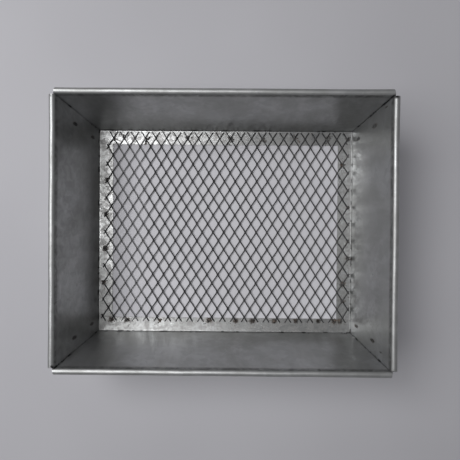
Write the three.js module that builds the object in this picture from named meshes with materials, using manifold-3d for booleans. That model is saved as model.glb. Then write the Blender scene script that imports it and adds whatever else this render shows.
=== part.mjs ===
// Rectangular hand sieve for classifying gravel. Four flared sheet-steel walls have wired rims and
// inward bottom flanges, and a sheet of expanded metal is tacked down on the flanges.
// Millimetres. +X runs along the long side, +Y to the rear and +Z up, from the centre of the base.
import * as THREE from "three";
import { mergeVertices } from "three/addons/utils/BufferGeometryUtils.js";
import Module from "manifold-3d";

const wasm = await Module();
wasm.setup();

// Tray
const BASE_LENGTH = 304; // between the two short walls, at the flanges
const BASE_WIDTH = 242; // between the two long walls, at the flanges
const DEPTH = 95;
const FLARE = 15; // how far each wall leans out between its flange and its rim
const SHEET = 0.9;
const GAP = 0.3; // clearance between neighbouring pieces
const FLANGE = 16.5;
const BEND_RADIUS = 0.8; // inside of the fold between wall and flange
const WIRE_RADIUS = 2.25;
const WIRE_RECESS = 1.5; // a rim wire stops this far inside each end of its roll
const ROLL_OVERRUN = 2; // a long roll runs this far past the inner face of a short wall
const ROLL_END_SLANT = 1.5; // the outer edge of a long roll is cut shorter by this much

// Corner laps: tabs of the long walls fold round onto the outside of the short walls
const TAB_WIDTH = 24;
const TAB_FOOT = 4; // height of the tab's lower edge
const TAB_HEADROOM = 2; // between the tab's upper edge and the roll above it
const WELD_RADIUS = 2.3;
const WELD_INSET = 14.5; // from the corner to a lap weld's centre
const WELD_HEIGHTS = { upper: 55, lower: 17 };

// Screen: raised diamonds, long axis along Y, on a lattice of knots counted from the rear left
const DIAMOND_SHORT = 12.8;
const DIAMOND_LONG = 20.5;
const STRAND = 1.5; // width and thickness of a strand
const COLUMNS = 46; // half-diamond steps across
const ROWS = 22; // half-diamond steps from rear to front
const FIRST_COLUMN_X = -141.4;
const FIRST_ROW_Y = 111.8;
const FRONT_SPREAD = 0.03; // the sheet is this fraction wider along its front edge
const SPREAD_CENTRE_X = 55; // the one line of knots that the spread leaves straight
const CUT_PAST_KNOTS = { left: 2, right: 1.5, rear: 7.5, front: 5.6 };

// Tacks that hold the screen to the flanges, by lattice column or row
const TACK_RADIUS = 2.4;
const TACK_HEIGHT = 1.3;
const TACK_STUB_SHIFT = 3; // a front tack sits on a cut strand, beside the knot
const TACK_STUB_DROP = 4.2;
const REAR_TACKS = [1, 3, 7, 15, 23, 29, 35, 41, 45];
const LEFT_TACKS = [5, 9, 13, 17];
const RIGHT_TACKS = [3, 8, 14, 17, 19];
const FRONT_TACKS = [
  [2, -1], [4, 1], [10, 1], [20, -1], [24, 1], [28, -1], [32, -1], [36, -1], [40, -1], [42, 1], [44, -1],
];

const ROLL_RADIUS = WIRE_RADIUS + GAP + SHEET;
const rollX = FLARE + ROLL_RADIUS;
const rollZ = DEPTH - ROLL_RADIUS;
const rollRise = rollZ - SHEET;
const lean = Math.atan2(rollX, rollRise) - Math.asin(ROLL_RADIUS / Math.hypot(rollX, rollRise));
const faceShift = (z) => (z - SHEET) * Math.tan(lean);
const slanted = (thickness) => thickness / Math.cos(lean);
const screenBase = SHEET + GAP;
const screenTop = screenBase + STRAND;

const steel = {
  galvanised: () => new THREE.MeshStandardMaterial({ color: 0x9aa0a2, roughness: 0.35, metalness: 0.9 }),
  wire: () => new THREE.MeshStandardMaterial({ color: 0x6b6d6e, roughness: 0.5, metalness: 0.9 }),
  screen: () => new THREE.MeshStandardMaterial({ color: 0x4a4a4b, roughness: 0.55, metalness: 0.8 }),
  lapWeld: () => new THREE.MeshStandardMaterial({ color: 0x55585a, roughness: 0.6, metalness: 0.8 }),
  tack: () => new THREE.MeshStandardMaterial({ color: 0x3d3531, roughness: 0.8, metalness: 0.5 }),
};

function toSolid(geometry) {
  const bare = geometry.index ? geometry.clone() : geometry;
  bare.deleteAttribute("normal");
  bare.deleteAttribute("uv");
  const merged = mergeVertices(bare, 1e-4);
  return new wasm.Manifold(new wasm.Mesh({
    numProp: 3,
    vertProperties: new Float32Array(merged.attributes.position.array),
    triVerts: new Uint32Array(merged.index.array),
  }));
}

function toGeometry(solid) {
  const mesh = solid.getMesh();
  const geometry = new THREE.BufferGeometry();
  geometry.setAttribute("position", new THREE.BufferAttribute(new Float32Array(mesh.vertProperties), 3));
  geometry.setIndex(new THREE.BufferAttribute(new Uint32Array(mesh.triVerts), 1));
  return geometry;
}

// A block with four slanted sides. limits(z) gives its [x low, x high, y low, y high] at a height.
function block(lowZ, highZ, limits) {
  const corners = [lowZ, highZ].flatMap((z) => {
    const [x0, x1, y0, y1] = limits(z);
    return [x0, y0, z, x1, y0, z, x1, y1, z, x0, y1, z];
  });
  const geometry = new THREE.BufferGeometry();
  geometry.setAttribute("position", new THREE.BufferAttribute(new Float32Array(corners), 3));
  geometry.setIndex([
    0, 2, 1, 0, 3, 2, 4, 5, 6, 4, 6, 7, 0, 1, 5, 0, 5, 4,
    1, 2, 6, 1, 6, 5, 2, 3, 7, 2, 7, 6, 3, 0, 4, 3, 4, 7,
  ]);
  return toSolid(geometry);
}

function arc(centre, radius, fromAngle, toAngle, steps) {
  return Array.from({ length: steps + 1 }, (_, i) => {
    const angle = fromAngle + ((toAngle - fromAngle) * i) / steps;
    return new THREE.Vector2(centre.x + radius * Math.cos(angle), centre.y + radius * Math.sin(angle));
  });
}

// Section of a wall: x outward from the foot of its inner face, y up
function wallSection() {
  const foldCentre = new THREE.Vector2(
    (-BEND_RADIUS * (1 - Math.sin(lean))) / Math.cos(lean), SHEET + BEND_RADIUS);
  const rollCentre = new THREE.Vector2(rollX, rollZ);
  const rollStart = Math.PI - lean;
  const closing = Math.acos((ROLL_RADIUS - SHEET - GAP) / ROLL_RADIUS) + 0.05;
  const rollEnd = rollStart - (2 * Math.PI - closing);
  return new THREE.Shape([
    new THREE.Vector2(-FLANGE, SHEET),
    ...arc(foldCentre, BEND_RADIUS, -Math.PI / 2, -lean, 3),
    ...arc(rollCentre, ROLL_RADIUS, rollStart, rollEnd, 20),
    ...arc(rollCentre, ROLL_RADIUS - SHEET, rollEnd, rollStart, 20),
    ...arc(foldCentre, BEND_RADIUS + SHEET, -lean, -Math.PI / 2, 4),
    new THREE.Vector2(-FLANGE, 0),
  ]);
}

// A wall before its ends are trimmed, facing +X, with its long axis along Y
function wallBlank(span, length) {
  const geometry = new THREE.ExtrudeGeometry(wallSection(), { depth: length, bevelEnabled: false });
  geometry.translate(span / 2, 0, -length / 2);
  geometry.rotateX(Math.PI / 2);
  return toSolid(geometry);
}

// The two flange corners, past a distance along the wall, and only inside the wall's own face
function flangeCorners(span, from) {
  const past = 200;
  const height = SHEET + 2 * BEND_RADIUS;
  const bite = 0.05;
  const reach = (z) => span / 2 + faceShift(z) + bite;
  const low = span / 2 - FLANGE - 1;
  return block(-1, height, (z) => [low, reach(z), from, past])
    .add(block(-1, height, (z) => [low, reach(z), -past, -from]));
}

function shortWall() {
  const end = (z) => BASE_WIDTH / 2 + faceShift(z) - slanted(GAP);
  const far = BASE_LENGTH;
  return wallBlank(BASE_LENGTH, BASE_WIDTH + 4 * FLARE)
    .intersect(block(-1, DEPTH + 1, (z) => [0, far, -end(z), end(z)]))
    .subtract(flangeCorners(BASE_LENGTH, BASE_WIDTH / 2 - FLANGE - GAP));
}

function longWall() {
  const far = BASE_LENGTH;
  const lapInner = (z) => BASE_LENGTH / 2 + faceShift(z) + slanted(SHEET + GAP);
  const lapOuter = (z) => lapInner(z) + slanted(SHEET);
  const face = (z) => BASE_WIDTH / 2 + faceShift(z);
  const rollFoot = DEPTH - 2 * ROLL_RADIUS - TAB_HEADROOM / 2;
  const rollEnd = BASE_LENGTH / 2 + FLARE + ROLL_OVERRUN;
  const slant = ROLL_END_SLANT / (2 * ROLL_RADIUS);
  let wall = wallBlank(BASE_WIDTH, BASE_LENGTH + 4 * FLARE)
    .intersect(block(-1, rollFoot, (z) => [0, far, -lapOuter(z), lapOuter(z)])
      .add(block(rollFoot, DEPTH + 1, () => [0, far, -rollEnd, rollEnd])))
    .subtract(flangeCorners(BASE_WIDTH, BASE_LENGTH / 2 - GAP));
  for (const side of [-1, 1]) {
    const inner = side * rollEnd;
    const rollFace = BASE_WIDTH / 2 + FLARE;
    const wedge = new THREE.Shape([
      new THREE.Vector2(rollFace - 5, inner + side * 5 * slant),
      new THREE.Vector2(rollFace + 20, inner - side * 20 * slant),
      new THREE.Vector2(rollFace + 20, inner + side * 20),
      new THREE.Vector2(rollFace - 5, inner + side * 20),
    ]);
    const cutter = new THREE.ExtrudeGeometry(wedge, { depth: 20, bevelEnabled: false });
    cutter.translate(0, 0, rollFoot);
    const tab = block(TAB_FOOT, rollFoot - TAB_HEADROOM / 2, (z) => {
      const ends = [side * lapInner(z), side * lapOuter(z)].sort((a, b) => a - b);
      return [face(z) - TAB_WIDTH, face(z) + slanted(SHEET), ...ends];
    });
    wall = wall.subtract(toSolid(cutter)).add(tab);
  }
  return wall;
}

// Lap welds: plugs through a short wall and the tab behind it
function lapWelds() {
  const places = [];
  for (const [sideName, sideX] of [["left", -1], ["right", 1]]) {
    for (const [endName, endY] of [["rear", 1], ["front", -1]]) {
      for (const [level, z] of Object.entries(WELD_HEIGHTS)) {
        const normal = new THREE.Vector3(sideX * Math.cos(lean), 0, -Math.sin(lean));
        const centre = new THREE.Vector3(
          sideX * (BASE_LENGTH / 2 + faceShift(z)), endY * (BASE_WIDTH / 2 + faceShift(z) - WELD_INSET), z);
        centre.addScaledVector(normal, SHEET + GAP / 2);
        const turn = new THREE.Quaternion().setFromUnitVectors(new THREE.Vector3(0, 1, 0), normal);
        places.push({ name: `lap_weld_${endName}_${sideName}_${level}`, centre, turn });
      }
    }
  }
  return places;
}

function drillWelds(wall, turnZ, welds) {
  const intoWall = new THREE.Matrix4().makeRotationZ(-turnZ);
  return welds.reduce((solid, weld) => {
    const drill = new THREE.CylinderGeometry(WELD_RADIUS + GAP, WELD_RADIUS + GAP, 3 * SHEET + 2, 12);
    drill.applyQuaternion(weld.turn);
    drill.translate(...weld.centre.toArray());
    drill.applyMatrix4(intoWall);
    return solid.subtract(toSolid(drill));
  }, wall);
}

// Lattice of the screen. Even columns have knots on odd rows, and odd columns on even rows.
const knotX = (column) => FIRST_COLUMN_X + (column * DIAMOND_SHORT) / 2;
const knotY = (row) => FIRST_ROW_Y - (row * DIAMOND_LONG) / 2;
const lastRowY = knotY(ROWS - 1);
const spreadX = (x, y) =>
  x + (FRONT_SPREAD * (x - SPREAD_CENTRE_X) * (FIRST_ROW_Y - y)) / (FIRST_ROW_Y - lastRowY);
const inLattice = (column, row) => column >= 0 && column < COLUMNS && row >= 0 && row < ROWS;

function knotCorners(column, row) {
  const half = new THREE.Vector2(DIAMOND_SHORT / 2, DIAMOND_LONG / 2);
  const inset = ((STRAND / 2) * half.length()) / (half.x * half.y);
  const x = knotX(column);
  const y = knotY(row);
  return {
    right: [x + half.x * inset, y], rear: [x, y + half.y * inset],
    left: [x - half.x * inset, y], front: [x, y - half.y * inset],
  };
}

// Flat pieces of the lattice as rings of corners, counter-clockwise from above
function latticePieces() {
  const pieces = [];
  for (let row = 0; row <= ROWS; row++) {
    for (let column = -1; column <= COLUMNS; column++) {
      if ((row + column) % 2 === 0) continue;
      const knot = knotCorners(column, row);
      if (inLattice(column, row)) pieces.push([knot.right, knot.rear, knot.left, knot.front]);
      for (const side of [1, -1]) {
        const joined = [column + side, row - 1];
        if (!inLattice(column, row) && !inLattice(...joined)) continue;
        const next = knotCorners(...joined);
        pieces.push(side > 0
          ? [knot.right, next.front, next.left, knot.rear]
          : [knot.rear, next.right, next.front, knot.left]);
      }
    }
  }
  return pieces;
}

// Raises flat pieces that share corners into one closed plate
function plate(pieces, lowZ, highZ) {
  const positions = [];
  const indices = [];
  const numbers = new Map();
  const key = (corner) => corner.map((v) => v.toFixed(3)).join();
  const number = (corner) => {
    if (!numbers.has(key(corner))) {
      numbers.set(key(corner), positions.length / 3);
      positions.push(...corner, lowZ, ...corner, highZ);
    }
    return numbers.get(key(corner));
  };
  const edges = new Map();
  for (const piece of pieces) {
    const ring = piece.map(number);
    const [a, b, c, d] = ring;
    indices.push(a + 1, b + 1, c + 1, a + 1, c + 1, d + 1, a, c, b, a, d, c);
    ring.forEach((from, i) => edges.set(`${from},${ring[(i + 1) % 4]}`, [from, ring[(i + 1) % 4]]));
  }
  for (const [from, to] of edges.values()) {
    if (!edges.has(`${to},${from}`)) indices.push(from, to, to + 1, from, to + 1, from + 1);
  }
  const geometry = new THREE.BufferGeometry();
  geometry.setAttribute("position", new THREE.BufferAttribute(new Float32Array(positions), 3));
  geometry.setIndex(indices);
  return geometry;
}

function screenGeometry() {
  const sheet = toSolid(plate(latticePieces(), screenBase, screenTop)).intersect(block(0, 10, () => [
    FIRST_COLUMN_X - CUT_PAST_KNOTS.left, knotX(COLUMNS - 1) + CUT_PAST_KNOTS.right,
    lastRowY - CUT_PAST_KNOTS.front, FIRST_ROW_Y + CUT_PAST_KNOTS.rear,
  ]));
  const geometry = toGeometry(sheet);
  const position = geometry.attributes.position;
  for (let i = 0; i < position.count; i++) {
    position.setX(i, spreadX(position.getX(i), position.getY(i)));
  }
  return geometry;
}

// Tack welds: [name, x, y] of each, on the knots or cut strands that lie over a flange
function tackPlaces() {
  const onKnot = (edge, column, row) => [edge, knotX(column), knotY(row)];
  const columnOn = (row, column) => ((row + column) % 2 ? column : column - 1);
  return [
    ...REAR_TACKS.map((column) => onKnot("rear", column, 0)),
    ...LEFT_TACKS.map((row) => onKnot("left", 0, row)),
    ...RIGHT_TACKS.map((row) => onKnot("right", columnOn(row, COLUMNS - 1), row)),
    ...FRONT_TACKS.map(([column, side]) => [
      "front", knotX(column) + side * TACK_STUB_SHIFT, lastRowY - TACK_STUB_DROP]),
  ].map(([edge, x, y]) => [edge, spreadX(x, y), y]);
}

function tackGeometry() {
  const profile = [[0, 0], [1, 0], [0.9, 0.5], [0.55, 0.85], [0, 1]];
  const geometry = new THREE.LatheGeometry(
    profile.map(([r, z]) => new THREE.Vector2(r * TACK_RADIUS, z * TACK_HEIGHT)), 8);
  return geometry.rotateX(Math.PI / 2);
}

const sieve = new THREE.Group();

function addMesh(parent, name, geometry, material) {
  const mesh = new THREE.Mesh(geometry, material);
  mesh.name = name;
  parent.add(mesh);
  return mesh;
}

const welds = lapWelds();
const sides = [
  { name: "right", turn: 0, span: BASE_LENGTH, make: shortWall },
  { name: "rear", turn: Math.PI / 2, span: BASE_WIDTH, make: longWall },
  { name: "left", turn: Math.PI, span: BASE_LENGTH, make: shortWall },
  { name: "front", turn: -Math.PI / 2, span: BASE_WIDTH, make: longWall },
];
for (const { name, turn, span, make } of sides) {
  const side = new THREE.Group();
  side.rotation.z = turn;
  sieve.add(side);
  addMesh(side, `${name}_wall`, toGeometry(drillWelds(make(), turn, welds)), steel.galvanised());

  const isLong = make === longWall;
  const rollHalf = isLong
    ? BASE_LENGTH / 2 + FLARE + ROLL_OVERRUN - ROLL_END_SLANT
    : BASE_WIDTH / 2 + FLARE - GAP;
  const wireLength = 2 * (rollHalf - WIRE_RECESS);
  const wire = new THREE.CylinderGeometry(WIRE_RADIUS, WIRE_RADIUS, wireLength, 16);
  addMesh(side, `${name}_rim_wire`, wire, steel.wire()).position.set(span / 2 + rollX, 0, rollZ);
}

addMesh(sieve, "mesh_screen", screenGeometry(), steel.screen());

for (const { name, centre, turn } of welds) {
  const length = 2 * SHEET + GAP + 0.4;
  const plug = addMesh(
    sieve, name, new THREE.CylinderGeometry(WELD_RADIUS, WELD_RADIUS, length, 12), steel.lapWeld());
  plug.position.copy(centre);
  plug.quaternion.copy(turn);
}

const tackCount = {};
for (const [edge, x, y] of tackPlaces()) {
  tackCount[edge] = (tackCount[edge] ?? 0) + 1;
  const tack = addMesh(sieve, `tack_${edge}_${tackCount[edge]}`, tackGeometry(), steel.tack());
  tack.position.set(x, y, screenTop + GAP);
}

export default sieve;
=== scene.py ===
"""A galvanised gravel sieve: flared sheet-steel walls with rolled rims, and an expanded-metal floor.

Everything is in metres, in the CAD frame: +X along the long side, +Y to the rear, +Z up.
"""

import math
import random

import bpy
import numpy as np
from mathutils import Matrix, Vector


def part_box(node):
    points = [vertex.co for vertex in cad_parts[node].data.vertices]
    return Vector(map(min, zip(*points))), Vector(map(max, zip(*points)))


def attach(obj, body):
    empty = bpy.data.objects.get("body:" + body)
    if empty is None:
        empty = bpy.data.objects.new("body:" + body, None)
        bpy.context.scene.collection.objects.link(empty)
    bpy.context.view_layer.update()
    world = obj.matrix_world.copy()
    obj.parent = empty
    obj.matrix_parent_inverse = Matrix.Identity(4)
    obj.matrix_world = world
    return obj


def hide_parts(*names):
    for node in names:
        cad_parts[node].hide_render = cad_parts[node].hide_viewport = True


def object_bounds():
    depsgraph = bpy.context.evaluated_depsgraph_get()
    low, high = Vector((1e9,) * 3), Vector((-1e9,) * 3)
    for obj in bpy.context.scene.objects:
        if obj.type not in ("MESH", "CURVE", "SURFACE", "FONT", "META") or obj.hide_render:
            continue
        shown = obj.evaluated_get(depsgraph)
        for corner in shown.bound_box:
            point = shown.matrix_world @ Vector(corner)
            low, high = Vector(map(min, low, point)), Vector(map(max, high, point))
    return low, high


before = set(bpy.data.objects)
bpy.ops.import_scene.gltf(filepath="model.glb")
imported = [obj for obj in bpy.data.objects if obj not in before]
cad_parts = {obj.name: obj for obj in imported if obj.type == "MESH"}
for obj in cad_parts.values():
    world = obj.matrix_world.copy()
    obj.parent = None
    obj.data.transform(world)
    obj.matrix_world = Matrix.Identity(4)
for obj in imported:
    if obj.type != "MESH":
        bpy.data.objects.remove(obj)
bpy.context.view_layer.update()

# ---------------------------------------------------------------- dimensions
MM = 0.001
SHEET = 0.9 * MM
GAP = 0.3 * MM
WIRE_RADIUS = 2.25 * MM
ROLL_RADIUS = WIRE_RADIUS + GAP + SHEET
FLARE = 15 * MM
BEND_RADIUS = 0.8 * MM
ROLL_OVERRUN = 2 * MM
ROLL_END_SLANT = 1.5 * MM
TAB_WIDTH = 24 * MM
TAB_FOOT = 4 * MM
TAB_HEADROOM = 2 * MM

outer_x, outer_y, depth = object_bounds()[1]
half_x = outer_x - 2 * ROLL_RADIUS - FLARE
half_y = outer_y - 2 * ROLL_RADIUS - FLARE
flange = half_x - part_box("right_wall")[0].x

roll_x = FLARE + ROLL_RADIUS
roll_z = depth - ROLL_RADIUS
lean = math.atan2(roll_x, roll_z - SHEET) - math.asin(
    ROLL_RADIUS / math.hypot(roll_x, roll_z - SHEET)
)

# Screen lattice
DIAMOND_SHORT = 12.8 * MM
DIAMOND_LONG = 20.5 * MM
COLUMNS = 46
ROWS = 22
FIRST_COLUMN_X = -141.4 * MM
FIRST_ROW_Y = 111.8 * MM
FRONT_SPREAD = 0.03
SPREAD_CENTRE_X = 55 * MM
STRAND_WIDTH = 1.15 * MM
STRAND_THICKNESS = 0.8 * MM
STRAND_TILT = math.radians(32)
STRAND_CHAMFER = 0.16 * MM
STRAND_ANGLE = math.atan2(DIAMOND_LONG, DIAMOND_SHORT)
CUT_LEFT = 2 * MM
CUT_RIGHT = 1.5 * MM

rng = random.Random(7)


def node_names(start):
    return sorted(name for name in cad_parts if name.startswith(start))


def node_centre(name):
    low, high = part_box(name)
    return (low + high) / 2


def face_shift(z):
    """How far a wall's inner face has leaned out at a height."""
    return (z - SHEET) * math.tan(lean)


def slanted(thickness):
    """Horizontal width of a leaning sheet."""
    return thickness / math.cos(lean)


# ---------------------------------------------------------------- mesh helpers
def make_object(name, vertices, faces, material, slot, smooth_angle=35):
    mesh = bpy.data.meshes.new(name)
    mesh.from_pydata([tuple(v) for v in vertices], [], faces)
    mesh.validate()
    mesh.update()
    piece = bpy.data.objects.new(name, mesh)
    bpy.context.scene.collection.objects.link(piece)
    mesh.materials.append(material)
    mesh.shade_smooth()
    mesh.set_sharp_from_angle(angle=math.radians(smooth_angle))
    return piece


def grid_faces(rows, columns, start=0, flip=False):
    """Quads over a rows x columns block of vertices that begins at start."""
    faces = []
    for r in range(rows - 1):
        for c in range(columns - 1):
            a = start + r * columns + c
            b = a + columns
            quad = (a, b, b + 1, a + 1)
            faces.append(quad[::-1] if flip else quad)
    return faces


def closed_sheet(inner, outer):
    """Vertices and faces of a closed sheet between two grids of points of the same shape."""
    rows, columns, _ = inner.shape
    shift = rows * columns
    faces = grid_faces(rows, columns) + grid_faces(rows, columns, shift, flip=True)
    ring = [(r, 0) for r in range(rows)]
    ring += [(rows - 1, c) for c in range(1, columns)]
    ring += [(r, columns - 1) for r in range(rows - 2, -1, -1)]
    ring += [(0, c) for c in range(columns - 2, 0, -1)]
    numbers = [r * columns + c for r, c in ring]
    for a, b in zip(numbers, numbers[1:] + numbers[:1]):
        faces.append((b, a, a + shift, b + shift))
    return np.concatenate([inner.reshape(-1, 3), outer.reshape(-1, 3)]), faces


def swept_bar(path, sections):
    """Vertices and faces of a closed bar: sections is (stations, corners, 3), offsets from path."""
    stations, corners, _ = sections.shape
    vertices = (path[:, None, :] + sections).reshape(-1, 3)
    faces = []
    for s in range(stations - 1):
        for c in range(corners):
            a = s * corners + c
            b = s * corners + (c + 1) % corners
            faces.append((a, b, b + corners, a + corners))
    faces.append(tuple(range(corners - 1, -1, -1)))
    faces.append(tuple(range((stations - 1) * corners, stations * corners)))
    return vertices, faces


def gather(parts):
    """Joins (vertices, faces) pairs into one pair."""
    vertices, faces, start = [], [], 0
    for part_vertices, part_faces in parts:
        vertices.append(part_vertices)
        faces += [tuple(i + start for i in face) for face in part_faces]
        start += len(part_vertices)
    return np.concatenate(vertices), faces


WAVE_SINES = 5
WAVE_STEP = 0.7  # each sine is this much finer than the one before it
WAVE_HEIGHT = 1.8  # of the sum of the sines


def wave(u, v, seed, scale):
    """Smooth noise from a few seeded sines, about -1 to 1."""
    source = random.Random(seed)
    total = 0.0
    for k in range(WAVE_SINES):
        turn = source.uniform(0, 2 * math.pi)
        frequency = (1 + WAVE_STEP * k) / scale
        phase = source.uniform(0, 2 * math.pi)
        total = total + np.sin(frequency * (u * math.cos(turn) + v * math.sin(turn)) + phase) / (1 + k)
    return total / WAVE_HEIGHT


# ---------------------------------------------------------------- materials
NOISE_ROUGHNESS = 0.55


class Nodes:
    """Short names for building a material's node tree. Colours are linear RGBA."""

    def __init__(self, name):
        self.material = bpy.data.materials.new(name)
        self.material.use_nodes = True
        self.tree = self.material.node_tree
        self.shader = self.tree.nodes["Principled BSDF"]
        self.position = self.add("ShaderNodeTexCoord").outputs["Object"]

    def add(self, kind, inputs=None, **settings):
        node = self.tree.nodes.new(kind)
        for key, value in settings.items():
            setattr(node, key, value)
        for key, value in (inputs or {}).items():
            self.join(value, node.inputs[key])
        return node

    def join(self, value, socket):
        if isinstance(value, bpy.types.NodeSocket):
            self.tree.links.new(value, socket)
        else:
            socket.default_value = value

    def stretched(self, scale):
        return self.add("ShaderNodeMapping", {"Vector": self.position, "Scale": scale}).outputs[0]

    def noise(self, scale, detail, vector=None, distortion=0.0):
        inputs = {
            "Vector": vector or self.position, "Scale": scale, "Detail": detail,
            "Roughness": NOISE_ROUGHNESS, "Distortion": distortion,
        }
        return self.add("ShaderNodeTexNoise", inputs).outputs["Fac"]

    def cells(self, scale):
        """A random value for each cell of a Voronoi pattern."""
        pattern = self.add("ShaderNodeTexVoronoi", {"Vector": self.position, "Scale": scale})
        return self.add("ShaderNodeSeparateColor", {"Color": pattern.outputs["Color"]}).outputs["Red"]

    def part(self, vector, axis):
        return self.add("ShaderNodeSeparateXYZ", {"Vector": vector}).outputs[axis]

    def math(self, operation, a, b=0.0):
        return self.add("ShaderNodeMath", {0: a, 1: b}, operation=operation).outputs[0]

    def times(self, a, b):
        return self.math("MULTIPLY", a, b)

    def plus(self, *terms):
        total = terms[0]
        for term in terms[1:]:
            total = self.math("ADD", total, term)
        return total

    def span(self, value, low, high, to_low=0.0, to_high=1.0):
        """Carries low..high smoothly to to_low..to_high, and holds its ends beyond them."""
        inputs = {
            "Value": value, "From Min": low, "From Max": high, "To Min": to_low, "To Max": to_high,
        }
        return self.add("ShaderNodeMapRange", inputs, interpolation_type="SMOOTHSTEP").outputs["Result"]

    def mix(self, factor, a, b):
        node = self.add("ShaderNodeMix", data_type="RGBA")
        self.join(factor, node.inputs[0])
        self.join(a, node.inputs[6])
        self.join(b, node.inputs[7])
        return node.outputs[2]

    def attribute(self, name):
        return self.add("ShaderNodeAttribute", attribute_name=name).outputs["Fac"]

    def bump(self, height, strength, distance):
        inputs = {"Height": height, "Strength": strength, "Distance": distance}
        return self.add("ShaderNodeBump", inputs).outputs["Normal"]

    def finish(self, color, roughness, metallic, normal):
        self.join(color, self.shader.inputs["Base Color"])
        self.join(roughness, self.shader.inputs["Roughness"])
        self.join(metallic, self.shader.inputs["Metallic"])
        self.join(normal, self.shader.inputs["Normal"])
        return self.material


def galvanised_material():
    n = Nodes("galvanised_steel")
    spangle = n.cells(150.0)
    patches = n.noise(22.0, 4.0, distortion=0.6)
    streaks = n.noise(60.0, 3.0, vector=n.stretched((1.0, 1.0, 0.12)))
    grain = n.noise(1600.0, 2.0)
    smears = n.noise(90.0, 5.0, distortion=1.2)
    mottle = n.noise(210.0, 5.0, distortion=0.8)
    speckle = n.noise(700.0, 4.0)
    # spots of dirt over a steady painted shade, for the darkening mask
    shade_and_stains = n.span(n.noise(130.0, 3.0), 0.55, 0.61, 0.22, 1.0)
    shelf = n.attribute("shelf")

    dull_zinc = (0.42, 0.425, 0.42, 1)
    streaked_zinc = (0.595, 0.60, 0.60, 1)
    bright_zinc = (0.63, 0.635, 0.64, 1)
    etched_zinc = (0.35, 0.345, 0.342, 1)
    zinc = n.mix(n.span(spangle, 0.0, 1.0), (0.462, 0.47, 0.472, 1), (0.536, 0.545, 0.548, 1))
    zinc = n.mix(n.span(patches, 0.35, 0.7), zinc, dull_zinc)
    zinc = n.mix(n.span(streaks, 0.45, 0.75, 0.0, 0.5), zinc, streaked_zinc)
    zinc = n.mix(n.span(smears, 0.55, 0.8, 0.0, 0.2), zinc, bright_zinc)
    zinc = n.mix(n.times(shelf, n.span(mottle, 0.34, 0.68)), zinc, etched_zinc)

    heat_tint = (0.21, 0.19, 0.175, 1)
    soot = (0.03, 0.025, 0.022, 1)
    painted_shade = (0.10, 0.10, 0.095, 1)
    shade_and_dirt_black = (0.015, 0.015, 0.015, 1)
    heat = n.attribute("burn")
    tinted = n.span(n.plus(heat, n.times(mottle, 0.8)), 0.65, 1.15, 0.0, 0.65)
    burnt = n.span(n.plus(heat, n.times(speckle, 0.7)), 0.78, 1.15)
    colour = n.mix(tinted, zinc, heat_tint)
    colour = n.mix(burnt, colour, soot)
    # painted shade: darker on the rolls' steep sides and on each wall's inner face, most on the left wall,
    # broken up by the smears
    colour = n.mix(n.times(n.attribute("painted_shade"), n.span(smears, 0.3, 0.7, 0.5, 1.3)), colour, painted_shade)
    # dirt with painted shade in the corners and folds, and a painted shadow where the rolls meet
    colour = n.mix(n.times(n.attribute("darkening"), shade_and_stains), colour, shade_and_dirt_black)

    roughness = n.plus(
        n.span(n.plus(patches, n.times(smears, 0.3)), 0.35, 0.9, 0.28, 0.40),
        n.times(shelf, n.span(mottle, 0.4, 0.62, -0.04, 0.16)),
        n.times(n.attribute("rim"), 0.14),
        n.times(burnt, 0.3),
    )
    relief = n.plus(n.times(spangle, 0.3), n.times(grain, 0.25), n.times(streaks, 0.8))
    metallic = n.span(burnt, 0.0, 1.0, 0.92, 0.35)
    return n.finish(colour, roughness, metallic, n.bump(relief, 0.22, 0.2 * MM))


def strand_material():
    n = Nodes("expanded_steel")
    scale = n.noise(260.0, 4.0)
    fine = n.noise(2500.0, 3.0)
    rust = n.span(n.noise(45.0, 5.0, distortion=0.8), 0.6, 0.78, 0.0, 0.45)
    steel = n.mix(n.span(scale, 0.3, 0.7), (0.04, 0.04, 0.041, 1), (0.105, 0.105, 0.105, 1))
    colour = n.mix(rust, steel, (0.10, 0.055, 0.032, 1))
    # painted highlight along the left side, on the strands that face the rear
    x = n.part(n.position, "X")
    past_left = n.span(x, -0.9 * half_x, -0.82 * half_x)
    before_middle = n.span(x, -0.68 * half_x, -0.58 * half_x, 1.0, 0.0)
    normal = n.add("ShaderNodeNewGeometry").outputs["Normal"]
    facing_rear = n.span(n.part(normal, "Y"), 0.0, 0.2)
    glint_strength = n.span(scale, 0.3, 0.5, 0.75, 1.0)
    painted_glint = n.times(n.times(n.times(past_left, before_middle), facing_rear), glint_strength)
    colour = n.mix(painted_glint, colour, (0.6, 0.6, 0.61, 1))
    roughness = n.span(fine, 0.3, 0.7, 0.38, 0.58)
    metallic = n.span(painted_glint, 0.0, 1.0, 0.85, 0.3)
    return n.finish(colour, roughness, metallic, n.bump(fine, 0.3, 0.1 * MM))


def wire_material():
    n = Nodes("rim_wire_steel")
    drawn = n.noise(900.0, 3.0, vector=n.stretched((1.0, 1.0, 6.0)))
    darkening = n.noise(150.0, 4.0)
    colour = n.mix(n.span(darkening, 0.35, 0.7), (0.20, 0.20, 0.205, 1), (0.09, 0.07, 0.055, 1))
    roughness = n.span(drawn, 0.3, 0.7, 0.4, 0.65)
    return n.finish(colour, roughness, 0.85, n.bump(drawn, 0.3, 0.1 * MM))


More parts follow.
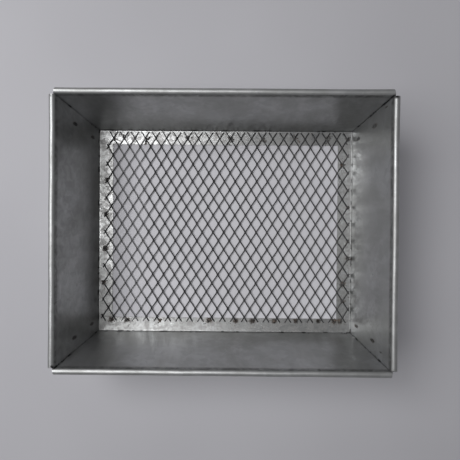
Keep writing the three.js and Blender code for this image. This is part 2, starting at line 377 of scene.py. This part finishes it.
def weld_material(name, dark, light, smoothest):
    n = Nodes(name)
    scale = n.noise(550.0, 5.0, distortion=0.5)
    fine = n.noise(3000.0, 3.0)
    rust = n.span(n.noise(300.0, 4.0, distortion=0.4), 0.52, 0.66, 0.0, 0.8)
    tone = n.plus(n.times(scale, 0.5), n.times(n.noise(38.0, 1.0), 0.7))
    colour = n.mix(n.span(tone, 0.45, 0.72), dark, light)
    colour = n.mix(rust, colour, (0.11, 0.066, 0.045, 1))
    roughness = n.span(fine, 0.3, 0.7, smoothest, smoothest + 0.25)
    metallic = n.span(rust, 0.0, 0.8, 0.75, 0.15)
    relief = n.plus(scale, n.times(fine, 0.4))
    return n.finish(colour, roughness, metallic, n.bump(relief, 0.5, 0.25 * MM))


WEAKEST_LIGHT_SPOT = (0.03, 0.02, 0.0)  # where the light painted under the tray is weakest


def floor_material():
    """Pale paper, with light painted on under the tray: paler there, and most so towards its walls."""
    n = Nodes("pale_floor_painted_light")
    tone = n.noise(3.0, 2.0)
    outside = n.mix(n.span(tone, 0.35, 0.65), (0.58, 0.575, 0.61, 1), (0.61, 0.605, 0.64, 1))
    measure = n.add("ShaderNodeVectorMath", {0: n.position, 1: WEAKEST_LIGHT_SPOT}, operation="DISTANCE")
    from_weakest_light = n.span(measure.outputs["Value"], 0.08, 0.16)
    # painted light: the floor under the tray is paler than outside, and paler still towards the walls,
    # where it lifts their shadow
    painted_light_under_tray = n.mix(from_weakest_light, (0.66, 0.655, 0.69, 1), (0.74, 0.735, 0.775, 1))
    across = n.math("ABSOLUTE", n.math("DIVIDE", n.part(n.position, "X"), outer_x))
    deep = n.math("ABSOLUTE", n.math("DIVIDE", n.part(n.position, "Y"), outer_y))
    colour = n.mix(n.span(n.math("MAXIMUM", across, deep), 0.86, 1.0), painted_light_under_tray, outside)
    return n.finish(colour, 0.85, 0.0, n.bump(n.noise(400.0, 3.0), 0.05, 0.1 * MM))


galvanised = galvanised_material()
strand_steel = strand_material()
wire_steel = wire_material()
lap_weld_steel = weld_material("lap_weld_steel", (0.05, 0.05, 0.05, 1), (0.20, 0.20, 0.20, 1), 0.45)
tack_steel = weld_material("tack_steel", (0.03, 0.027, 0.025, 1), (0.27, 0.23, 0.20, 1), 0.5)
rear_tack_steel = weld_material("rear_tack_steel", (0.07, 0.068, 0.066, 1), (0.26, 0.255, 0.25, 1), 0.4)


# ---------------------------------------------------------------- walls
FLANGE_ROWS = 11
BEND_ROWS = 5
PANEL_ROWS = 40
ROLL_ROWS = 48
MIDDLE_STATIONS = 150
END_STATIONS = (0.0, 0.3, 0.7, 1.2, 2.0)  # mm in from a wall's end
END_CROWDING = 1.3  # over 1 draws the middle stations towards the ends
SEAM_OPENING = 0.05  # radians by which the roll stops short of the panel
TAB_ROWS = 16
TAB_STEPS = 10
TAB_BEND_STEPS = 6
TAB_BEND = 0.3 * MM

# The sheet's unevenness: how far it moves, and how far apart its waves are
DENT_DEPTH = 0.42 * MM
DENT_SPACING = 32 * MM
DENT_FREE_FOOT = 3 * MM
DENT_FREE_TOP = 8 * MM
DENT_FADE_FOOT = 20 * MM
DENT_FADE_TOP = 25 * MM
CORNER_STIFFNESS = 30 * MM  # dents grow over this distance from a wall's end
ROLL_ZONE = 10 * MM  # measured down from the rim
ROLL_ZONE_FADE = 4 * MM
ROLL_DROP = 0.4  # of the roll's drift
ROLL_DRIFT = 0.14 * MM  # inwards, so that the rim keeps inside its true size
ROLL_DRIFT_SPACING = 14 * MM
FLANGE_CURL = 0.14 * MM
FLANGE_CURL_SPACING = 9 * MM


def arc_points(centre, radius, start, end, steps):
    angles = np.linspace(start, end, steps + 1)
    return np.stack([centre[0] + radius * np.cos(angles), centre[1] + radius * np.sin(angles)], 1)


def straight(start, end, steps):
    """Points from start to just before end."""
    return start + (end - start) * np.linspace(0, 1, steps + 1)[:-1, None]


def wall_section():
    """Matching points on a wall's two faces, (outward, up), from the flange's edge to the roll's end."""
    fold = (-BEND_RADIUS * (1 - math.sin(lean)) / math.cos(lean), SHEET + BEND_RADIUS)
    roll_start = math.pi - lean
    seam = math.acos((ROLL_RADIUS - SHEET - GAP) / ROLL_RADIUS) + SEAM_OPENING
    roll_end = roll_start - 2 * math.pi + seam
    faces = []
    for fold_radius, curl_radius, flange_z in (
        (BEND_RADIUS, ROLL_RADIUS, SHEET),
        (BEND_RADIUS + SHEET, ROLL_RADIUS - SHEET, 0.0),
    ):
        bend = arc_points(fold, fold_radius, -math.pi / 2, -lean, BEND_ROWS)
        curl = arc_points((roll_x, roll_z), curl_radius, roll_start, roll_end, ROLL_ROWS)
        edge = np.array([-flange, flange_z])
        faces.append(np.concatenate([
            straight(edge, bend[0], FLANGE_ROWS),
            bend[:-1],
            straight(bend[-1], curl[0], PANEL_ROWS),
            curl,
        ]))
    return faces


def wall_ends(is_long, section):
    """Half length of the wall at each row of its section."""
    panel_top = FLANGE_ROWS + BEND_ROWS + PANEL_ROWS
    ends = []
    for row, (outward, z) in enumerate(section):
        if not is_long:
            end = half_y + face_shift(min(z, roll_z)) - slanted(GAP)
            if row < FLANGE_ROWS:
                end = half_y - flange - GAP
        elif row < FLANGE_ROWS:
            end = half_x - GAP
        elif row < panel_top:
            end = half_x + face_shift(z) + slanted(SHEET + GAP) - TAB_BEND
        else:
            end = half_x + FLARE + ROLL_OVERRUN - (outward - FLARE) / (2 * ROLL_RADIUS) * ROLL_END_SLANT
        ends.append(end)
    return np.array(ends)[:, None]


def wall_stations(ends):
    """Places along the wall for each row of its section, closer together near the ends."""
    near = np.array(END_STATIONS) * MM
    t = np.linspace(-1, 1, MIDDLE_STATIONS + 2)[1:-1]
    middle = np.sign(t) * (1 - (1 - np.abs(t)) ** END_CROWDING)
    return np.concatenate([near - ends, middle * (ends - near[-1]), ends - near[::-1]], axis=1)


def place_wall(points, turn, half_span):
    """Wall axes (outward, along, up) into the frame."""
    outward = points[..., 0] + half_span
    along = points[..., 1]
    c, s = math.cos(turn), math.sin(turn)
    return np.stack([outward * c - along * s, outward * s + along * c, points[..., 2]], -1)


def panel_grids(is_long, seed):
    """A wall's inner and outer faces, with the sheet's slight waves."""
    inner, outer = wall_section()
    ends = wall_ends(is_long, inner)
    along = wall_stations(ends)
    outward = (inner[:, :1] + outer[:, :1]) / 2
    height = (inner[:, 1:] + outer[:, 1:]) / 2 + 0 * along
    normal = (inner - outer) / np.linalg.norm(inner - outer, axis=1)[:, None]

    from_corner = np.clip((ends - np.abs(along)) / CORNER_STIFFNESS, 0, 1)
    above_foot = np.clip((height - DENT_FREE_FOOT) / DENT_FADE_FOOT, 0, 1)
    below_top = np.clip((depth - DENT_FREE_TOP - height) / DENT_FADE_TOP, 0, 1)
    dents = DENT_DEPTH * above_foot * below_top * from_corner * wave(along, height, seed, DENT_SPACING)

    on_roll = np.clip((height - depth + ROLL_ZONE) / ROLL_ZONE_FADE, 0, 1)
    sag = 1 + wave(along, 0 * along, seed + 1, ROLL_DRIFT_SPACING)
    drift = -ROLL_DRIFT * on_roll * from_corner * np.clip(sag, 0, None)

    on_flange = np.clip((height < SHEET) * -outward / flange, 0, 1)
    lift = 1 + wave(along, on_flange * flange, seed + 2, FLANGE_CURL_SPACING)
    curl = FLANGE_CURL * on_flange ** 2 * lift

    grids = []
    for face in (inner, outer):
        points = np.empty(along.shape + (3,))
        points[..., 0] = face[:, :1] + dents * normal[:, :1] + drift
        points[..., 1] = along
        level = face[:, 1:] + dents * normal[:, 1:] + ROLL_DROP * drift + curl
        points[..., 2] = np.clip(level, 0, depth)
        grids.append(points)
    return grids


def tab_grids(end):
    """The folded end of a long wall, lapped over the outside of the short wall it meets."""
    reach = slanted(SHEET + GAP)
    heights = np.linspace(TAB_FOOT, depth - 2 * ROLL_RADIUS - TAB_HEADROOM, TAB_ROWS)
    grids = []
    for thickness in (0.0, slanted(SHEET)):
        rows = []
        for z in heights:
            corner = face_shift(z)
            centre = (half_x + corner + reach - TAB_BEND, corner - TAB_BEND)
            bend = arc_points(centre, TAB_BEND + thickness, math.pi / 2, 0, TAB_BEND_STEPS)
            tip = bend[-1] - [0, TAB_WIDTH - TAB_BEND]
            plan = np.concatenate([bend, straight(tip, bend[-1], TAB_STEPS)[::-1]])
            rows.append(np.stack([plan[:, 1], end * plan[:, 0], np.full(len(plan), z)], 1))
        grids.append(np.array(rows)[:, ::int(end)])
    return grids


def build_wall(side, turn, half_span, is_long, seed):
    sheets = [panel_grids(is_long, seed)]
    if is_long:
        sheets += [tab_grids(end) for end in (-1, 1)]
    parts = [closed_sheet(*(place_wall(grid, turn, half_span) for grid in grids)) for grids in sheets]
    wall = make_object(f"{side}_sheet", *gather(parts), galvanised, "galvanised_sheet")
    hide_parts(f"{side}_wall")
    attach(wall, "root")
    mark_sheet(wall, side)


WALLS = (
    ("right", 0.0, half_x, False),
    ("rear", math.pi / 2, half_y, True),
    ("left", math.pi, half_x, False),
    ("front", -math.pi / 2, half_y, True),
)


def spot(points, centre, radius, height_stretch=1.0):
    """1 at a centre, falling to 0 at a radius, which is longer up the wall."""
    offset = (points - np.array(centre)) / [1, 1, height_stretch]
    return np.clip(1 - np.linalg.norm(offset, axis=1) / radius, 0, 1)


# Burns: strength at the middle, and reach in mm
TACK_BURN = 1.0
REAR_TACK_BURN = 0.6
TACK_BURN_REACH = (4.0, 8.0)
LAP_BURN = 1.2
LAP_BURN_REACH = (3.5, 5.0)
LAP_BURN_STRETCH = 2.4

# Scratches near the rim, beside the right wall's corners
SCUFFS = [
    (half_x + 12.5 * MM, half_y + 8 * MM, 80 * MM),
    (half_x + 11.5 * MM, -half_y - 2 * MM, 74 * MM),
]
SCUFF_RADIUS = 2.2 * MM
SCUFF_STRETCH = 3.5

# Dirt with painted shade in the corners and folds, painted shadow where the rolls meet, and painted shade
# on the rolls' sides
CORNER_SHADE_AND_DIRT_WIDTH = 1.8 * MM
FOLD_SHADE_AND_DIRT_WIDTH = 0.9 * MM
FOLD_SHADE_AND_DIRT_HEIGHT = 3 * MM
ROLL_END_SHADE = 1.6
ROLL_END_SHADE_RADIUS = 3.2 * MM
STEEP_FROM = 0.8  # of a roll's radius, where its side begins to count as steep
STEEP_RANGE = 0.18
ROLL_SHADE_TRAY_SIDE = 0.55
ROLL_SHADE_OUTSIDE = 0.4

# Painted shade on the inner faces, most on the left wall: how much at the flange, and at the rim
WALL_SHADE = {"left": (0.14, 0.37), "rear": (0.0, 0.2), "right": (0.0, 0.0), "front": (0.0, 0.04)}


def burn_mask(points):
    """Burns round the tack and lap welds, and the two scuffs."""
    burn = np.zeros(len(points))
    for name in node_names("tack_"):
        centre = node_centre(name)
        strength = REAR_TACK_BURN if name.startswith("tack_rear") else TACK_BURN
        reach = rng.uniform(*TACK_BURN_REACH) * MM
        burn = np.maximum(burn, strength * spot(points, (centre.x, centre.y, SHEET), reach))
    for name in node_names("lap_weld_"):
        reach = rng.uniform(*LAP_BURN_REACH) * MM
        burn = np.maximum(burn, LAP_BURN * spot(points, node_centre(name), reach, LAP_BURN_STRETCH))
    for centre in SCUFFS:
        burn = np.maximum(burn, spot(points, centre, SCUFF_RADIUS, SCUFF_STRETCH))
    return burn


def mark_sheet(piece, side):
    """Vertex masks for the sheet's material: burn, darkening (dirt with painted shade and shadow), flange
    shelf, rim and painted shade.
    """
    points = np.array([v.co for v in piece.data.vertices])
    x, y, z = np.abs(points[:, 0]), np.abs(points[:, 1]), points[:, 2]
    out_x = x - half_x - face_shift(z)
    out_y = y - half_y - face_shift(z)
    out = np.maximum(out_x, out_y)
    tray_side = (out < SHEET / 2) & (z > SHEET / 2)
    shelf = np.clip(-out / MM, 0, 1)
    rim = np.clip((z - roll_z + ROLL_RADIUS) / MM, 0, 1)

    # dirt with painted shade in the upright corners and in the fold at the foot of each wall, and painted
    # shadow at the open ends of the short rolls
    in_corner = np.clip(1.1 + np.minimum(out_x, out_y) / CORNER_SHADE_AND_DIRT_WIDTH, 0, 1)
    in_fold = np.clip(1 + out / FOLD_SHADE_AND_DIRT_WIDTH, 0, 1) * np.clip(1.5 - (z - SHEET) / FOLD_SHADE_AND_DIRT_HEIGHT, 0, 1)
    darkening = tray_side * np.maximum(in_corner, in_fold)
    for x_side in (-1, 1):
        for y_side in (-1, 1):
            meeting = (x_side * (half_x + roll_x - MM), y_side * (half_y + FLARE - MM), depth - MM)
            darkening = np.maximum(darkening, ROLL_END_SHADE * spot(points, meeting, ROLL_END_SHADE_RADIUS))

    # painted shade on the rolls' steep sides, and on the inner faces
    outward = np.maximum(x - half_x, y - half_y)
    steep = np.clip((np.abs(outward - roll_x) / ROLL_RADIUS - STEEP_FROM) / STEEP_RANGE, 0, 1)
    painted_shade = rim * steep * np.where(outward < roll_x, ROLL_SHADE_TRAY_SIDE, ROLL_SHADE_OUTSIDE)
    wall_shade_low, wall_shade_high = WALL_SHADE[side]
    wall_shade = wall_shade_low + (wall_shade_high - wall_shade_low) * z / depth
    painted_shade = np.maximum(painted_shade, wall_shade * tray_side * (1 - rim))

    masks = {"burn": burn_mask(points), "darkening": darkening, "shelf": shelf, "rim": rim, "painted_shade": painted_shade}
    for name, values in masks.items():
        layer = piece.data.attributes.new(name, "FLOAT", "POINT")
        layer.data.foreach_set("value", values.astype(np.float32))


# ---------------------------------------------------------------- rim wires
WIRE_SIDES = 24
WIRE_STATIONS = 30
WIRE_END_BEVEL = 0.35 * MM
WIRE_END_SIZE = 0.8  # of the wire's radius


def build_wire(side):
    low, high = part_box(f"{side}_rim_wire")
    along_x = (high - low).x > (high - low).y
    half = max((high - low).x, (high - low).y) / 2
    stations = np.concatenate([
        [-half, -half + WIRE_END_BEVEL],
        np.linspace(-half, half, WIRE_STATIONS)[1:-1],
        [half - WIRE_END_BEVEL, half],
    ])
    radii = np.full(len(stations), WIRE_RADIUS)
    radii[[0, -1]] = WIRE_END_SIZE * WIRE_RADIUS
    angles = np.linspace(0, 2 * math.pi, WIRE_SIDES, endpoint=False)
    path = np.zeros((len(stations), 3))
    path[:, 0 if along_x else 1] = stations
    path += np.array((low + high) / 2)
    sections = np.zeros((len(stations), len(angles), 3))
    sections[:, :, 1 if along_x else 0] = radii[:, None] * np.cos(angles) * (1 if along_x else -1)
    sections[:, :, 2] = radii[:, None] * np.sin(angles)
    wire = make_object(f"{side}_wire", *swept_bar(path, sections), wire_steel, "rim_wire")
    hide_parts(f"{side}_rim_wire")
    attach(wire, "root")


# ---------------------------------------------------------------- expanded metal
screen_low, screen_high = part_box("mesh_screen")
last_row_y = FIRST_ROW_Y - (ROWS - 1) * DIAMOND_LONG / 2
screen_z = (screen_low.z + screen_high.z) / 2
STEPS_PER_ROW = 10
SHORTEST_STEP = 0.4  # of a full step, at the front edge
SHORTEST_STUB = 3  # steps along a strand

# The sheet's unevenness along each axis: how far it moves, spacing of the waves, seed
SHAKE = (
    (0.32 * MM, 17 * MM, 51),
    (0.3 * MM, 21 * MM, 52),
    (0.2 * MM, 26 * MM, 53),
)


def knot_x(column):
    return FIRST_COLUMN_X + column * DIAMOND_SHORT / 2


def spread_x(x, y):
    """The sheet was cut a little wider along its front edge."""
    return x + FRONT_SPREAD * (x - SPREAD_CENTRE_X) * (FIRST_ROW_Y - y) / (FIRST_ROW_Y - last_row_y)


def soft_step(t, flat=0.10, softness=0.045):
    """0 to 1 with flat ends, where two strands lie side by side in a knot."""
    def raw(s):
        return np.sqrt((s - flat) ** 2 + softness**2) - np.sqrt((s - 1 + flat) ** 2 + softness**2)
    return (raw(t) - raw(0.0)) / (raw(1.0) - raw(0.0))


def band_path(column, y):
    """Centreline of the wavy strip between two columns of knots, at each y."""
    rows = (FIRST_ROW_Y - y) / (DIAMOND_LONG / 2)
    # the strip touches its left column on rows of the other parity, and its right column on its own
    phase = (rows - (column + 1) % 2) / 2
    t = 1 - np.abs((phase % 1.0) * 2 - 1)
    side = soft_step(t)
    inset = STRAND_WIDTH / 2 * math.cos(STRAND_TILT)
    left = knot_x(column) + inset
    right = knot_x(column + 1) - inset
    lift = STRAND_WIDTH / 2 * math.sin(STRAND_TILT)
    x = left + (right - left) * side
    z = screen_z + lift * (1 - 2 * side)
    return np.stack([x, y, z], 1)


def bar_sections(path):
    """Chamfered rectangles along a path, tilted about the diamonds' long axis."""
    ahead = np.gradient(path, axis=0)
    ahead /= np.linalg.norm(ahead, axis=1)[:, None]
    width = np.array([math.cos(STRAND_TILT), 0.0, math.sin(STRAND_TILT)])
    across = width - ahead * (ahead @ width)[:, None]
    across /= np.linalg.norm(across, axis=1)[:, None]
    up = np.cross(ahead, across)
    w, t, c = STRAND_WIDTH / 2, STRAND_THICKNESS / 2, STRAND_CHAMFER
    outline = [
        (w, c - t), (w, t - c), (w - c, t), (c - w, t),
        (-w, t - c), (-w, c - t), (c - w, -t), (w - c, -t),
    ]
    return np.stack([a * across + b * up for a, b in outline], 1)


def shaken(path):
    """The sheet's spread towards the front, and its small unevenness."""
    x, y, z = path[:, 0], path[:, 1], path[:, 2]
    moved = [spread_x(x, y), y, z]
    return np.stack([
        place + reach * wave(x, y, seed, spacing)
        for place, (reach, spacing, seed) in zip(moved, SHAKE)
    ], 1)


def side_stubs(column, y, is_kept):
    """Short lengths of the strip beside the lattice, where the cut left them."""
    path = band_path(column, y)
    kept = is_kept(path[:, 0])
    stubs = []
    for run in np.split(np.arange(len(y)), np.where(np.diff(kept.astype(int)) != 0)[0] + 1):
        if kept[run[0]] and len(run) >= SHORTEST_STUB:
            stubs.append(shaken(path[run]))
    return stubs


def build_screen():
    rear, front = screen_high.y, screen_low.y
    step = DIAMOND_LONG / 2 / STEPS_PER_ROW
    y = np.arange(rear, front, -step)
    if y[-1] - front < SHORTEST_STEP * step:
        y = y[:-1]
    y = np.append(y, front)
    left_cut = knot_x(0) - CUT_LEFT
    right_cut = knot_x(COLUMNS - 1) + CUT_RIGHT
    paths = [shaken(band_path(column, y)) for column in range(COLUMNS - 1)]
    paths += side_stubs(-1, y, lambda x: x > left_cut)
    paths += side_stubs(COLUMNS - 1, y, lambda x: x < right_cut)
    vertices, faces = gather([swept_bar(path, bar_sections(path)) for path in paths])
    screen = make_object(
        "expanded_metal_floor", vertices, faces, strand_steel, "expanded_metal", smooth_angle=25)
    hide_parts("mesh_screen")
    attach(screen, "root")


# ---------------------------------------------------------------- welds
# Profiles as (fraction of the radius, fraction of the height), from the top down
DOME = [
    (0.0, 1.0), (0.22, 0.98), (0.45, 0.9), (0.65, 0.75),
    (0.82, 0.52), (0.94, 0.25), (1.0, -0.1), (0.9, -0.3),
]
PRESSED_SPOT = [
    (0.0, 0.25), (0.3, 0.2), (0.5, 0.4), (0.68, 0.95),
    (0.8, 1.0), (0.92, 0.6), (1.0, 0.0), (1.0, -1.2),
]
PUDDLE_SIDES = 30
PUDDLE_WAVES = (2, 3, 5)

# Ranges in mm, and how many times longer than wide
REAR_TACK = {"radius": (1.9, 2.7), "height": (0.7, 1.0), "stretch": (1.0, 1.3)}
EDGE_TACK = {"radius": (0.9, 1.3), "height": (1.2, 1.8), "stretch": (1.7, 2.8)}
TACK_WANDER = 0.7
TACK_LOBES = 0.42
TACK_SWING = 0.3
# Smaller puddles beside a tack's main one: size, side and range of swing in radians
SIDE_PUDDLES = ((0.85, 1, (0.7, 1.3)), (0.6, -1, (0.5, 1.2)))
MAIN_PUDDLE_SHIFT = 0.5  # of the radius, along the strand
SIDE_PUDDLE_SHIFT = 5.0  # of the radius, more for a smaller puddle
BEADS = 9
BEAD_REACH = (2.5, 8)
BEAD_RADIUS = (0.22, 0.55)
BEAD_LOBES = 0.12
FOLD_MARGIN = 1.5 * MM  # beads stay this far from a flange's fold
EDGE_MARGIN = 1 * MM  # and this far from its edge

LAP_RADIUS = 1.7 * MM
LAP_HEIGHT = 0.22 * MM
LAP_LOBES = 0.12
LAP_INNER_STRETCH = (1.4, 2.2)
LAP_OUTER_STRETCH = 1.1


def puddle(centre, across, up, radius, height, profile, lobes, seed, stretch=1.0):
    """A closed button on a surface: a profile swept round an irregular outline."""
    source = random.Random(seed)
    sides = PUDDLE_SIDES
    around = np.linspace(0, 2 * math.pi, sides, endpoint=False)
    outline = np.ones(sides)
    lumps = np.zeros(sides)
    for k in PUDDLE_WAVES:
        outline += lobes / math.sqrt(k) * np.sin(k * around + source.uniform(0, 2 * math.pi))
        lumps += lobes / k * np.sin(k * around + source.uniform(0, 2 * math.pi))
    across = np.array(across) / np.linalg.norm(across)
    up = np.array(up)
    along = np.cross(up, across)
    plan = np.cos(around)[:, None] * across + stretch * np.sin(around)[:, None] * along
    rings = []
    for fraction, level in profile[1:]:
        lift = level * (1 + fraction * lumps)
        rings.append(radius * fraction * outline[:, None] * plan + height * lift[:, None] * up)
    top = height * profile[0][1] * up
    bottom = height * profile[-1][1] * up
    vertices = np.concatenate([[top], *rings, [bottom]]) + np.array(centre)
    faces = [(0, 1 + j, 1 + (j + 1) % sides) for j in range(sides)]
    for i in range(len(rings) - 1):
        for j in range(sides):
            a = 1 + i * sides + j
            b = 1 + i * sides + (j + 1) % sides
            faces.append((a, a + sides, b + sides, b))
    last = 1 + (len(rings) - 1) * sides
    faces += [(len(vertices) - 1, last + (j + 1) % sides, last + j) for j in range(sides)]
    return vertices, faces


def over_flange(x, y):
    inside = abs(x) < half_x - FOLD_MARGIN and abs(y) < half_y - FOLD_MARGIN
    return inside and (abs(x) > half_x - flange + EDGE_MARGIN or abs(y) > half_y - flange + EDGE_MARGIN)


def build_tack(name):
    """An irregular weld puddle over a strand, with beads of spatter on the flange round it."""
    centre = node_centre(name)
    is_rear = name.startswith("tack_rear")
    kind = REAR_TACK if is_rear else EDGE_TACK
    x = centre.x + rng.uniform(-TACK_WANDER, TACK_WANDER) * MM
    y = centre.y + rng.uniform(-TACK_WANDER, TACK_WANDER) * MM
    radius = rng.uniform(*kind["radius"]) * MM
    height = rng.uniform(*kind["height"]) * MM
    stretch = rng.uniform(*kind["stretch"])
    # the puddle runs along one of the two strands that meet here, with two smaller ones beside it
    turn = rng.choice((-1, 1)) * STRAND_ANGLE + rng.uniform(-TACK_SWING, TACK_SWING)
    puddles = [(1.0, 0.0)]
    puddles += [(size, beside * rng.uniform(*swing)) for size, beside, swing in SIDE_PUDDLES]
    parts = []
    for size, swing in puddles:
        away = (MAIN_PUDDLE_SHIFT + SIDE_PUDDLE_SHIFT * (1 - size)) * radius
        heading = turn + swing
        at = (x + away * math.cos(heading), y + away * math.sin(heading), SHEET)
        across = (math.sin(heading), -math.cos(heading), 0)
        parts.append(puddle(
            at, across, (0, 0, 1), radius * size, height * size, DOME, TACK_LOBES, rng.random(), stretch))
    for _ in range(BEADS):
        away = rng.uniform(*BEAD_REACH) * MM
        turn = rng.uniform(0, 2 * math.pi)
        bead = rng.uniform(*BEAD_RADIUS) * MM
        at = (x + away * math.cos(turn), y + away * math.sin(turn), SHEET)
        if over_flange(at[0], at[1]):
            parts.append(puddle(at, (1, 0, 0), (0, 0, 1), bead, bead, DOME, BEAD_LOBES, rng.random()))
    steel = rear_tack_steel if is_rear else tack_steel
    bead_name = name.replace("tack_", "tack_bead_")
    piece = make_object(bead_name, *gather(parts), steel, "tack_weld", smooth_angle=60)
    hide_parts(name)
    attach(piece, "root")


def build_lap_weld(name):
    """A pressed spot on the short wall's inner face, and another on the tab behind it."""
    centre = np.array(node_centre(name))
    side = math.copysign(1, centre[0])
    outward = np.array([side * math.cos(lean), 0.0, -math.sin(lean)])
    reach = SHEET + GAP / 2
    parts = []
    for face, stretch in ((-1, rng.uniform(*LAP_INNER_STRETCH)), (1, LAP_OUTER_STRETCH)):
        at = centre + face * reach * outward
        parts.append(puddle(
            at, (0, 1, 0), face * outward, LAP_RADIUS, LAP_HEIGHT, PRESSED_SPOT, LAP_LOBES,
            rng.random(), stretch))
    spot_name = name.replace("lap_weld", "lap_spot")
    piece = make_object(spot_name, *gather(parts), lap_weld_steel, "lap_weld", smooth_angle=60)
    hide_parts(name)
    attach(piece, "root")


# ---------------------------------------------------------------- studio
FLOOR_HALF = 1.6
FLOOR_STEPS = 24
FLOOR_DROP = 0.15 * MM  # keeps the floor clear of the flanges' undersides


def build_floor():
    line = np.linspace(-FLOOR_HALF, FLOOR_HALF, FLOOR_STEPS + 1)
    vertices = [(x, y, -FLOOR_DROP) for x in line for y in line]
    faces = grid_faces(FLOOR_STEPS + 1, FLOOR_STEPS + 1)
    floor = make_object("studio_floor", vertices, faces, floor_material(), "floor")


# Lamps at one distance, aimed at the sieve: kind, direction in plan from +X and angle from overhead
# in degrees, size, watts
LAMPS = {
    "key": ("AREA", 165, 29, 1.1, 8.6),
    "rear": ("AREA", 140, 35, 0.5, 1.9),
    "overhead": ("SPOT", 178, 11, 0.12, 9.6),
}
LAMP_DISTANCE = 1.35
SPOT_CONE = math.radians(20)
SKY_COLOUR = (0.98, 0.98, 1.0, 1)
SKY_STRENGTH = 0.185


def build_lights():
    for name, (kind, direction, tilt, size, watts) in LAMPS.items():
        data = bpy.data.lights.new(name, kind)
        data.energy = watts
        if kind == "AREA":
            data.shape = "DISK"
            data.size = size
        else:
            data.shadow_soft_size = size
            data.spot_size = SPOT_CONE
            data.spot_blend = 1.0
        light = bpy.data.objects.new(name, data)
        level = LAMP_DISTANCE * math.sin(math.radians(tilt))
        light.location = (
            level * math.cos(math.radians(direction)),
            level * math.sin(math.radians(direction)),
            LAMP_DISTANCE * math.cos(math.radians(tilt)),
        )
        light.rotation_euler = (-Vector(light.location)).to_track_quat("-Z", "Y").to_euler()
        bpy.context.scene.collection.objects.link(light)
    world = bpy.data.worlds.new("studio")
    bpy.context.scene.world = world
    world.use_nodes = True
    background = world.node_tree.nodes["Background"]
    background.inputs["Color"].default_value = SKY_COLOUR
    background.inputs["Strength"].default_value = SKY_STRENGTH


# Almost straight above the middle of the sieve
CAMERA_PLACE = (0.0097, 0.0066, 0.5092)
CAMERA_TURN = (-0.0091, 0.0069, 0.0080)
LENS = 32.93
SENSOR = 36


def build_camera():
    data = bpy.data.cameras.new("camera")
    data.sensor_width = SENSOR
    data.lens = LENS
    camera = bpy.data.objects.new("camera", data)
    camera.location = CAMERA_PLACE
    camera.rotation_euler = CAMERA_TURN
    bpy.context.scene.collection.objects.link(camera)
    bpy.context.scene.camera = camera


WALL_SEED = 20
SEEDS_PER_WALL = 3

build_camera()
for number, wall in enumerate(WALLS):
    build_wall(*wall, seed=WALL_SEED + SEEDS_PER_WALL * number)
    build_wire(wall[0])
build_screen()
for node in node_names("tack_"):
    build_tack(node)
for node in node_names("lap_weld_"):
    build_lap_weld(node)
build_floor()
build_lights()
bpy.context.scene.view_settings.view_transform = "Standard"
